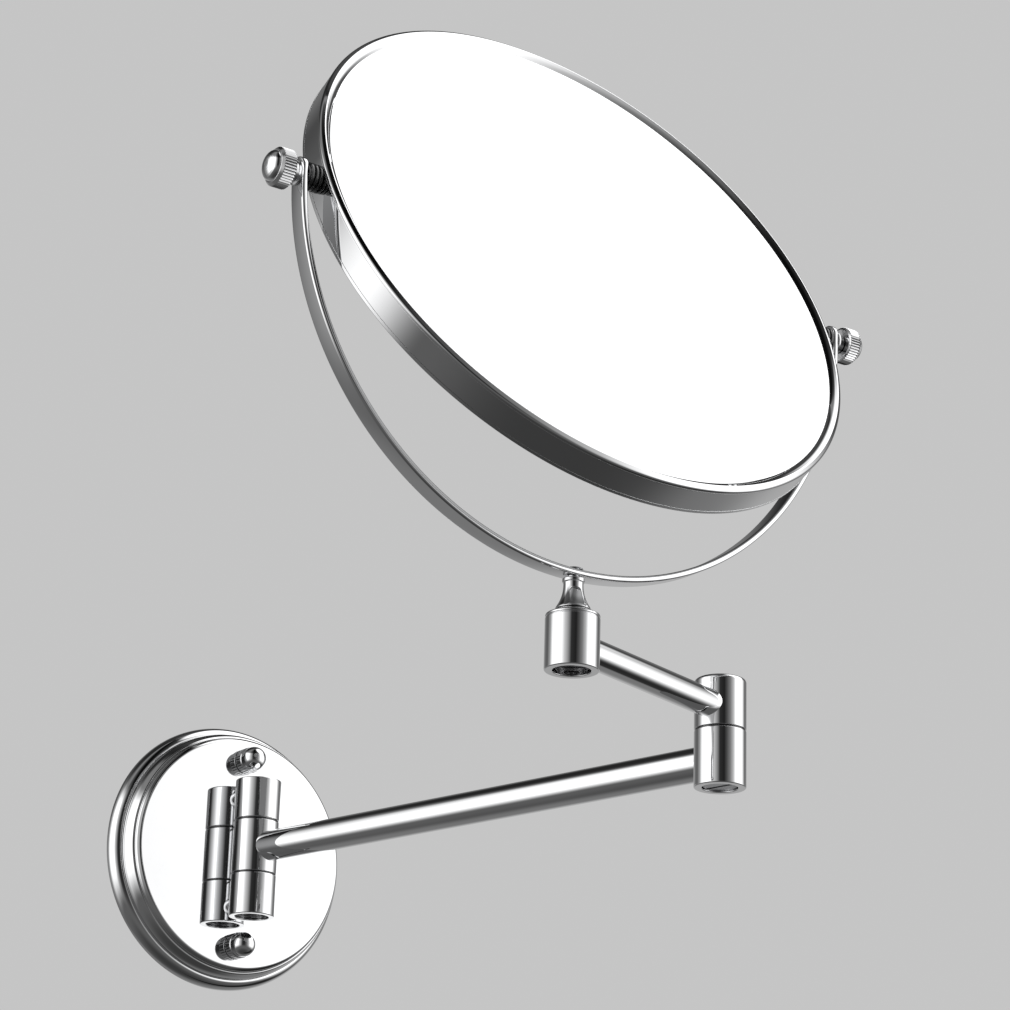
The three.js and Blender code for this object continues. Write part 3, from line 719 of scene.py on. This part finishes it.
class SHAVING_OT_long_arm(MirrorOperator):
    """The turning knuckle, the long tube and the elbow's lower body with its slotted screw"""

    bl_idname = "shaving.long_arm"
    bl_label = "Long arm"

    def build(self, settings):
        arm = settings.arm
        radius = arm.body_radius
        edge = arm.edge
        knuckle = ring(BARREL_BORE, radius, low("arm_knuckle") - arm.joint,
                       high("arm_knuckle") + arm.joint,
                       Vector((HINGE.x, HINGE.y, 0)), UP, 0.25 * MM)
        piece("barrel_middle", knuckle, "long_arm", "chrome", ["arm_knuckle"])
        height = middle("long_arm_tube").z
        reach = (ELBOW - HINGE).length
        start = Vector((HINGE.x, HINGE.y, height))
        tube = bar(arm.long_radius, radius - SINK, reach - radius + SINK, start, LONG_WAY)
        made = piece("long_tube", tube, "long_arm", "chrome", ["long_arm_tube"])
        # the tube is left out of reflections, so that the wall plate shows a clean face
        made.visible_glossy = False
        bottom, joint = low("elbow_lower_body"), high("elbow_lower_body") + arm.joint
        head = low("elbow_pivot_screw")
        well = 6.2 * MM
        lower = turned(
            [
                (PIVOT_BORE, joint), (PIVOT_BORE, head + 2.7 * MM), (well, head + 2.7 * MM),
                (well, bottom, 0.3 * MM), (radius, bottom, edge * 0.8),
                (radius, joint, 0.25 * MM), (PIVOT_BORE, joint),
            ],
            Vector((ELBOW.x, ELBOW.y, 0)), UP,
        )
        piece("elbow_lower", lower, "long_arm", "chrome", ["elbow_lower_body"])
        self.screw(head, high("elbow_pivot_screw"), well - 0.3 * MM)
        node = "elbow_washer"
        washer = ring(PIVOT_BORE, radius - 0.3 * MM, low(node), high(node),
                      Vector((ELBOW.x, ELBOW.y, 0)), UP, 0.1 * MM)
        piece("elbow_joint_line", washer, "long_arm", "black_nylon", [node])

    def screw(self, head, top, radius):
        """A plug whose slot runs right across it, made as a disc with two raised halves."""
        origin = Vector((ELBOW.x, ELBOW.y, 0))
        joined = bmesh.new()
        shank = turned(
            [
                (0, head + 1 * MM), (radius, head + 1 * MM), (radius, head + 2.4 * MM),
                (3.5 * MM, head + 2.4 * MM), (3.5 * MM, top), (0, top),
            ],
            Vector((0, 0, 0)), UP,
        )
        for half in (None, 1, -1):
            if half is None:
                part = shank
            else:
                part = bar(radius, head, head + 1.02 * MM, Vector((0, 0, 0)), UP, 0.2 * MM)
                cut = bmesh.ops.bisect_plane(
                    part, geom=part.verts[:] + part.edges[:] + part.faces[:], dist=1e-7,
                    plane_co=(0, half * 0.7 * MM, 0), plane_no=(0, half, 0), clear_inner=True,
                )
                rim = [item for item in cut["geom_cut"] if isinstance(item, bmesh.types.BMEdge)]
                bmesh.ops.holes_fill(part, edges=rim)
                bmesh.ops.recalc_face_normals(part, faces=part.faces)
            mesh = bpy.data.meshes.new("screw_part")
            part.to_mesh(mesh)
            part.free()
            joined.from_mesh(mesh)
            bpy.data.meshes.remove(mesh)
        bmesh.ops.transform(joined, matrix=along(UP, origin, LONG_WAY), verts=joined.verts)
        piece("elbow_screw", joined, "long_arm", "steel", ["elbow_pivot_screw"])


class SHAVING_OT_short_arm(MirrorOperator):
    """The elbow's upper body, the short rod and the collar at its end"""

    bl_idname = "shaving.short_arm"
    bl_label = "Short arm"

    def build(self, settings):
        arm = settings.arm
        radius = arm.body_radius
        start, end = low("elbow_upper_body") - arm.joint, high("elbow_upper_body")
        upper = turned(
            [(0, start), (radius, start, 0.25 * MM), (radius, end, 1.5 * MM), (0, end)],
            Vector((ELBOW.x, ELBOW.y, 0)), UP,
        )
        piece("elbow_upper", upper, "short_arm", "chrome", ["elbow_upper_body"])
        height = middle("short_arm_rod").z
        reach = (SWIVEL - ELBOW).length
        origin = Vector((ELBOW.x, ELBOW.y, height))
        rod = bar(arm.short_radius, radius - SINK, reach - radius + SINK, origin, SHORT_WAY)
        piece("short_rod", rod, "short_arm", "chrome", ["short_arm_rod"])
        self.weld("short_rod_weld", origin, SHORT_WAY, arm, "short_arm", arm.short_radius)
        bottom, top = low("end_collar"), high("end_collar")
        recess = arm.recess_radius - 0.3 * MM
        seat = bottom + 4.9 * MM
        line = top - 1.9 * MM
        collar = turned(
            [
                (PIVOT_BORE, seat), (recess, seat), (recess, bottom, 0.3 * MM),
                (radius, bottom, 0.4 * MM), (radius, line - 0.35 * MM, 0.12 * MM),
                (radius - 0.3 * MM, line - 0.15 * MM, 0.08 * MM),
                (radius - 0.3 * MM, line + 0.05 * MM, 0.08 * MM),
                (radius - 0.05 * MM, line + 0.25 * MM, 0.12 * MM),
                (radius - 0.05 * MM, top - 1.0 * MM, 0.3 * MM),
                (radius - 2.0 * MM, top, 0.2 * MM), (PIVOT_BORE, top, 0.1 * MM),
                (PIVOT_BORE, seat),
            ],
            Vector((SWIVEL.x, SWIVEL.y, 0)), UP,
        )
        piece("collar_body", collar, "short_arm", "chrome", ["end_collar"])


class SHAVING_OT_swivel(MirrorOperator):
    """The flared swivel stem with its bead, washer and screw"""

    bl_idname = "shaving.swivel"
    bl_label = "Swivel stem"

    def build(self, settings):
        arm = settings.arm
        origin = Vector((SWIVEL.x, SWIVEL.y, 0))
        foot = high("swivel_washer") + 0.05 * MM
        top = high("swivel_stem")
        bead = low("yoke_band") - 0.3 * MM
        neck = arm.stem_neck
        base = arm.stem_base
        tail = low("swivel_stem")
        corners = [(0, tail), (3.5 * MM, tail), (3.5 * MM, foot), (base, foot, 0.3 * MM)]
        flare = bead - foot - 2.1 * MM
        for step in range(0, 15):
            share = step / 14
            spread = (base - neck - 0.3 * MM) * (1 - share) ** 2.2
            corners.append((neck + spread, foot + 0.8 * MM + (flare - 0.8 * MM) * share))
        corners += [
            (neck, bead - 1.6 * MM, 0.1 * MM), (neck + 0.4 * MM, bead - 1.4 * MM, 0.3 * MM),
            (neck + 0.4 * MM, bead - 0.1 * MM, 0.3 * MM), (2 * MM, bead),
            (2 * MM, top), (0, top),
        ]
        stem = turned(corners, origin, UP)
        piece("stem_body", stem, "yoke", "chrome", ["swivel_stem"], sharp=35)
        node = "swivel_washer"
        washer = ring(PIVOT_BORE, base - 0.6 * MM, low(node), high(node), origin, UP, 0.1 * MM)
        piece("stem_washer", washer, "yoke", "black_nylon", [node])
        node = "swivel_screw"
        bottom = low(node)
        screw = turned(
            [
                (0, bottom + 1 * MM), (2.2 * MM, bottom + 1 * MM), (2.5 * MM, bottom, 0.15 * MM),
                (5.9 * MM, bottom, 0.4 * MM), (5.9 * MM, bottom + 1.6 * MM),
                (1.8 * MM, bottom + 1.6 * MM), (1.8 * MM, high(node)), (0, high(node)),
            ],
            origin, UP,
        )
        piece("stem_screw", screw, "yoke", "blackened_steel", [node])


class SHAVING_OT_yoke(MirrorOperator):
    """The half-ring yoke, a flat band with rounded ends, and its rivet"""

    bl_idname = "shaving.yoke"
    bl_label = "Yoke"

    def build(self, settings):
        mirror = settings.mirror
        inner = mirror.rim_radius + mirror.yoke_clearance
        outer = inner + mirror.yoke_thickness
        half = mirror.yoke_width / 2
        rise = mirror.yoke_end_rise
        bm = bmesh.new()
        corners = [(inner, -half), (outer, -half), (outer, half), (inner, half)]
        face = bm.faces.new([bm.verts.new((x, y, 0)) for x, y in corners])
        bmesh.ops.bevel(
            bm, geom=face.verts[:], offset=0.85 * MM, offset_type="OFFSET", segments=6,
            profile=0.5, affect="VERTICES", material=-1,
        )
        for edge in list(bm.edges):
            if edge.calc_length() > 1.5 * MM:
                for _ in range(2):
                    bmesh.utils.edge_split(edge, edge.verts[0], SUPPORT / edge.calc_length())
        section = bm.faces[:]
        bmesh.ops.spin(
            bm, geom=section + bm.verts[:] + bm.edges[:], cent=(0, 0, 0), axis=(0, 1, 0),
            angle=math.pi, steps=180, use_merge=False, use_duplicate=False,
        )
        bmesh.ops.remove_doubles(bm, verts=bm.verts, dist=1e-7)
        for side in (1, -1):
            self.rounded_end(bm, side, rise, half)
        bmesh.ops.recalc_face_normals(bm, faces=bm.faces)
        turn = along(UP, PIVOT, PIVOT_AXIS)
        bmesh.ops.transform(bm, matrix=turn, verts=bm.verts)
        piece("yoke_ring", bm, "yoke", "chrome", ["yoke_band"])
        node = "yoke_rivet"
        start = low(node) - 0.25 * MM
        rivet = turned(
            [(0, start), (3.1 * MM, start), (3.1 * MM, start + 0.4 * MM, 0.2 * MM),
             (1.6 * MM, high(node), 0.4 * MM), (0, high(node))],
            Vector((SWIVEL.x, SWIVEL.y, 0)), UP, STEPS_SMALL,
        )
        piece("yoke_rivet_head", rivet, "yoke", "steel", [node])

    def rounded_end(self, bm, side, rise, half):
        """Draws one end up past the pivot and closes it round."""
        slices = [rise * share for share in (0.25, 0.5, 0.75, 1)]
        widths = [1.0] * len(slices)
        for step in range(1, 19):
            angle = step / 18 * math.pi / 2
            slices.append(rise + half * math.sin(angle))
            widths.append(max(math.cos(angle), 0.03))
        end = [v for v in bm.verts if abs(v.co.z) < 1e-6 and v.co.x * side > 0]
        edges = [e for e in bm.edges if e.verts[0] in end and e.verts[1] in end]
        faces = [f for f in bm.faces if all(v in end for v in f.verts)]
        if faces:
            bmesh.ops.delete(bm, geom=faces, context="FACES_ONLY")
        height, width = 0.0, 1.0
        for level, wide in zip(slices, widths):
            made = bmesh.ops.extrude_edge_only(bm, edges=edges)
            verts = [g for g in made["geom"] if isinstance(g, bmesh.types.BMVert)]
            edges = [g for g in made["geom"] if isinstance(g, bmesh.types.BMEdge)]
            bmesh.ops.translate(bm, vec=(0, 0, level - height), verts=verts)
            bmesh.ops.scale(bm, vec=(1, wide / width, 1), verts=verts)
            height, width = level, wide
        bmesh.ops.edgeloop_fill(bm, edges=edges)


class SHAVING_OT_mirror_frame(MirrorOperator):
    """The smooth rim band and the rolled bezels in front and behind"""

    bl_idname = "shaving.mirror_frame"
    bl_label = "Rim and bezels"

    def build(self, settings):
        mirror = settings.mirror
        radius = mirror.rim_radius
        half = mirror.rim_depth / 2
        face = radius - 0.06 * MM
        side = half - mirror.bezel_skirt - 0.03 * MM
        inner = radius - 2.8 * MM
        band = ring(inner, face, -side, side, PIVOT, FACING, 0.1 * MM, STEPS_RIM)
        piece("rim_band", band, "mirror", "chrome", ["mirror_rim"])
        lip = mirror.bezel_lip
        start = half - mirror.bezel_skirt
        foot = half - mirror.glass_depth
        for word, axis, edge in (("front", FACING, 0.6 * MM), ("rear", -FACING, 0.15 * MM)):
            corners = [
                (radius - 1.1 * MM, start, 0.1 * MM), (radius, start, 0.06 * MM),
                (radius, half - 0.65 * MM, edge), (radius - 1.7 * MM, half + 0.3 * MM, 0.3 * MM),
                (radius - 3.4 * MM, half - 0.52 * MM, 0.7 * MM), (radius - lip, foot + 0.02 * MM),
                (radius - 1.1 * MM, foot + 0.02 * MM), (radius - 1.1 * MM, start),
            ]
            bezel = turned(corners, PIVOT, axis, STEPS_RIM)
            piece(f"bezel_ring_{word}", bezel, "mirror", "chrome", [f"bezel_{word}"])


class SHAVING_OT_mirror_glasses(MirrorOperator):
    """The plain glass in front and the magnifying glass behind"""

    bl_idname = "shaving.mirror_glasses"
    bl_label = "Glasses"

    def build(self, settings):
        mirror = settings.mirror
        radius = mirror.glass_radius
        front = mirror.rim_depth / 2 - mirror.glass_depth
        plain = bar(radius, front - 3 * MM, front, PIVOT, FACING, 0.3 * MM, STEPS_PLATE)
        piece("plain_glass", plain, "mirror", "silvered_glass", ["glass_plain"])
        corners = []
        steps = 32
        for step in range(steps + 1):
            share = step / steps
            corners.append((radius * share, front - mirror.dish * (1 - share ** 2)))
        for step in range(steps, -1, -1):
            share = step / steps
            corners.append((radius * share, front - 2 * MM - mirror.dish * (1 - share ** 2)))
        hollow = turned(corners, PIVOT, -FACING, STEPS_PLATE, support=1)
        piece("magnifying_glass", hollow, "mirror", "silvered_glass",
              ["glass_magnifying"])


class SHAVING_OT_pivots(MirrorOperator):
    """The ribbed spacers, studs and necks at the two ends of the pivot axis"""

    bl_idname = "shaving.pivots"
    bl_label = "Pivots"

    def build(self, settings):
        mirror = settings.mirror
        knob = settings.knob
        inner = mirror.rim_radius + mirror.yoke_clearance
        outer = inner + mirror.yoke_thickness
        face = mirror.rim_radius - 0.4 * MM
        for word, axis in (("left", -PIVOT_AXIS), ("right", PIVOT_AXIS)):
            corners = [(STUD_BORE, face + 0.2 * MM), (3.6 * MM, face + 0.2 * MM, 0.1 * MM)]
            start = mirror.rim_radius + 0.3 * MM
            end = inner - 0.25 * MM
            ribs = 3
            pitch = (end - start) / ribs
            crest = knob.spacer_radius
            corners.append((3.6 * MM, start))
            for rib in range(ribs):
                at = start + rib * pitch
                corners += [
                    (crest, at + 0.05 * pitch, 0.15 * MM), (crest, at + 0.55 * pitch, 0.15 * MM),
                    (crest - 0.8 * MM, at + 0.68 * pitch, 0.08 * MM),
                    (crest - 0.8 * MM, at + 0.94 * pitch, 0.08 * MM),
                ]
            corners += [(crest - 0.8 * MM, end), (STUD_BORE, end), (STUD_BORE, face + 0.2 * MM)]
            spacer = turned(corners, PIVOT, axis, support=0.05 * MM)
            piece(f"ribbed_spacer_{word}", spacer, "mirror", "black_nylon",
                  [f"pivot_spacer_{word}"])
            stud = bar(1.9 * MM, mirror.glass_radius + 0.15 * MM, outer + 6 * MM,
                       PIVOT, axis, 0.2 * MM, STEPS_SMALL)
            piece(f"threaded_stud_{word}", stud, "mirror", "steel",
                  [f"pivot_stud_{word}"])
            flange = knob.neck_radius + 0.6 * MM
            waist = knob.neck_radius - 0.3 * MM
            start, end = outer + 0.05 * MM, outer + 2.85 * MM
            neck = turned(
                [
                    (STUD_BORE, start), (flange, start, 0.15 * MM),
                    (flange, start + 0.65 * MM, 0.15 * MM), (waist, start + 0.85 * MM, 0.1 * MM),
                    (waist, end), (STUD_BORE, end), (STUD_BORE, start),
                ],
                PIVOT, axis,
            )
            piece(f"neck_washer_{word}", neck, "yoke", "chrome", [f"knob_washer_{word}"])


class SHAVING_OT_thumb_knobs(MirrorOperator):
    """The two knurled thumb knobs with stepped domed ends"""

    bl_idname = "shaving.thumb_knobs"
    bl_label = "Thumb knobs"

    def build(self, settings):
        mirror = settings.mirror
        knob = settings.knob
        outer = mirror.rim_radius + mirror.yoke_clearance + mirror.yoke_thickness
        start = outer + 3.2 * MM
        end = start + 8.4 * MM
        for word, axis in (("left", -PIVOT_AXIS), ("right", PIVOT_AXIS)):
            radius = knob.radius
            band = start + 0.5 * MM
            band_end = band + knob.band
            dome = knob.dome_radius
            corners = [
                (0, start), (radius - 0.9 * MM, start, 0.2 * MM),
                (radius, band, 0.15 * MM), (radius, band + 0.3 * MM),
                (radius, band_end - 0.3 * MM), (radius, band_end, 0.2 * MM),
                (dome + 0.45 * MM, band_end + 1.0 * MM, 0.1 * MM),
                (dome, band_end + 0.8 * MM, 0.1 * MM),
                (dome, end - 1.9 * MM, 1.1 * MM),
                (dome * 0.55, end, 1.9 * MM), (0, end),
            ]
            body = turned(corners, PIVOT, axis, steps=knob.teeth * 6)
            knurl(body, PIVOT, axis, band - 0.1 * MM, band_end + 0.05 * MM,
                  radius, knob.depth, knob.teeth)
            piece(f"knurled_knob_{word}", body, f"knob_{word}", "knurled_chrome",
                  [f"thumb_knob_{word}"], sharp=40)


class SHAVING_OT_hidden_metal(MirrorOperator):
    """The finish of the bracket, studs, screws and board behind the visible pieces"""

    bl_idname = "shaving.hidden_metal"
    bl_label = "Bracket and hidden pieces"

    def build(self, settings):
        kept = {
            "wall_bracket_plate": "steel", "bracket_stud_upper": "steel",
            "bracket_stud_lower": "steel", "post_screw_upper": "steel",
            "post_screw_lower": "steel", "backing_board": "pressed_board",
        }
        for node, material in kept.items():
            mesh = frame["nodes"][node].data
            mesh.materials.clear()
            mesh.materials.append(finish(material))


# ---------------------------------------------------------------- studio


class SHAVING_OT_studio(MirrorOperator):
    """The pale floor, the soft light all round and the camera"""

    bl_idname = "shaving.studio"
    bl_label = "Studio"

    def build(self, settings):
        studio = settings.studio
        self.floor(studio)
        self.surround(studio)
        self.camera(studio)
        view = bpy.context.scene.view_settings
        view.view_transform = "Standard"
        view.look = "None"

    def floor(self, studio):
        bm = bmesh.new()
        bmesh.ops.create_grid(bm, x_segments=8, y_segments=8, size=60)
        bmesh.ops.translate(bm, vec=(0, 0, -studio.floor_drop), verts=bm.verts)
        mesh = bpy.data.meshes.new("studio_floor")
        bm.to_mesh(mesh)
        bm.free()
        material, graph = new_material("studio_floor")
        cloud = noise(graph, object_place(graph), 1.5, 3)
        shade = tint(graph, cloud, (0.86, 0.86, 0.86), (0.9, 0.9, 0.9))
        close(graph, graph.add("ShaderNodeBsdfPrincipled",
                               inputs={"Base Color": shade, "Roughness": 0.9}))
        mesh.materials.append(material)
        made = bpy.data.objects.new("studio_floor", mesh)
        made.visible_glossy = False
        bpy.context.scene.collection.objects.link(made)

    def surround(self, studio):
        """Upright strip lights and dark flags all round, dim below, and one box overhead."""
        world = bpy.data.worlds.new("studio")
        world.use_nodes = True
        graph = Graph(world.node_tree)
        way = graph.add("ShaderNodeTexCoord", output=0)
        x, y, z = graph.parts(way)
        sine, cosine = math.sin(studio.heading), math.cos(studio.heading)
        behind = x * -sine + y * -cosine
        right = x * cosine + y * -sine
        swing = graph.add("ShaderNodeMath", {"operation": "ARCTAN2"}, [right, behind])
        stops = [(angle / 360 + 0.5, grey(level)) for angle, level in STRIPS]
        strips = graph.add("ShaderNodeValToRGB", {"stops": stops}, [swing / TAU + 0.5])
        strips, _, _ = graph.parts(strips)
        # the strips end below the ceiling, and lower still on the side away from the camera
        rear = (0 - behind).between(0.35, 0.65)
        strips = strips * studio.strips * (1 - z.between(0.55, 0.75) * 0.85)
        strips = strips * (1 - rear * z.between(0.15, 0.5) * 0.6)
        # dim light from the floor, with one dark gap
        gap = swing.between(1.75, 2.0) * (1 - swing.between(2.4, 2.6))
        below = (0.11 + rear * 0.08) * (1 - gap * 0.85) * (0.4 + z.between(-1.0, -0.6) * 0.6)
        light = below + (strips - below) * z.between(-0.56, -0.1)
        facing = graph.add("ShaderNodeVectorMath", {"operation": "DOT_PRODUCT"},
                           [way, Vector(studio.overhead).normalized()], output=1)
        box = facing.between(0.87, 0.93)
        light = light + (studio.overhead_light - light) * box
        lamp = graph.add("ShaderNodeBackground", inputs={"Color": grey(1), "Strength": light})
        plain = graph.add("ShaderNodeBackground",
                          inputs={"Color": grey(studio.backdrop), "Strength": 1.0})
        seen = graph.add("ShaderNodeLightPath", output=0)
        mix = graph.add("ShaderNodeMixShader", inputs=[seen, lamp, plain])
        graph.add("ShaderNodeOutputWorld", inputs={"Surface": mix})
        bpy.context.scene.world = world

    def camera(self, studio):
        ahead = Vector((
            math.sin(studio.heading) * math.cos(studio.rise),
            math.cos(studio.heading) * math.cos(studio.rise),
            math.sin(studio.rise),
        ))
        right = Vector((math.cos(studio.heading), -math.sin(studio.heading), 0))
        above = right.cross(ahead)
        side = right * math.cos(studio.lean) + above * math.sin(studio.lean)
        top = above * math.cos(studio.lean) - right * math.sin(studio.lean)
        turn = Matrix((side, top, -ahead)).transposed().to_4x4()
        data = bpy.data.cameras.new("camera")
        data.lens = studio.lens
        data.sensor_width = 36
        data.clip_start = 0.01
        made = bpy.data.objects.new("camera", data)
        made.matrix_world = Matrix.Translation(studio.camera_place) @ turn
        bpy.context.scene.collection.objects.link(made)
        bpy.context.scene.camera = made


OPERATORS = (
    SHAVING_OT_studio,
    SHAVING_OT_wall_plate,
    SHAVING_OT_cap_nuts,
    SHAVING_OT_wall_hinge,
    SHAVING_OT_long_arm,
    SHAVING_OT_short_arm,
    SHAVING_OT_swivel,
    SHAVING_OT_yoke,
    SHAVING_OT_mirror_frame,
    SHAVING_OT_mirror_glasses,
    SHAVING_OT_pivots,
    SHAVING_OT_thumb_knobs,
    SHAVING_OT_hidden_metal,
)


class SHAVING_PT_panel(bpy.types.Panel):
    """The mirror's settings and the operators that make its pieces"""

    bl_idname = "SHAVING_PT_panel"
    bl_label = "Shaving mirror"
    bl_space_type = "VIEW_3D"
    bl_region_type = "UI"
    bl_category = "Mirror"

    def draw(self, context):
        settings = context.scene.shaving_mirror
        for name, group in GROUPS.items():
            box = self.layout.box()
            box.label(text=name.capitalize())
            for key in group.__annotations__:
                box.prop(getattr(settings, name), key)
        for operator in OPERATORS:
            self.layout.operator(operator.bl_idname)


CLASSES = (*GROUPS.values(), ShavingMirrorSettings, *OPERATORS, SHAVING_PT_panel)


def register():
    for cls in CLASSES:
        bpy.utils.register_class(cls)
    bpy.types.Scene.shaving_mirror = PointerProperty(type=ShavingMirrorSettings)


def unregister():
    del bpy.types.Scene.shaving_mirror
    for cls in reversed(CLASSES):
        bpy.utils.unregister_class(cls)


def main():
    register()
    for operator in OPERATORS:
        group, name = operator.bl_idname.split(".")
        getattr(getattr(bpy.ops, group), name)()


if __name__ == "__main__":
    main()
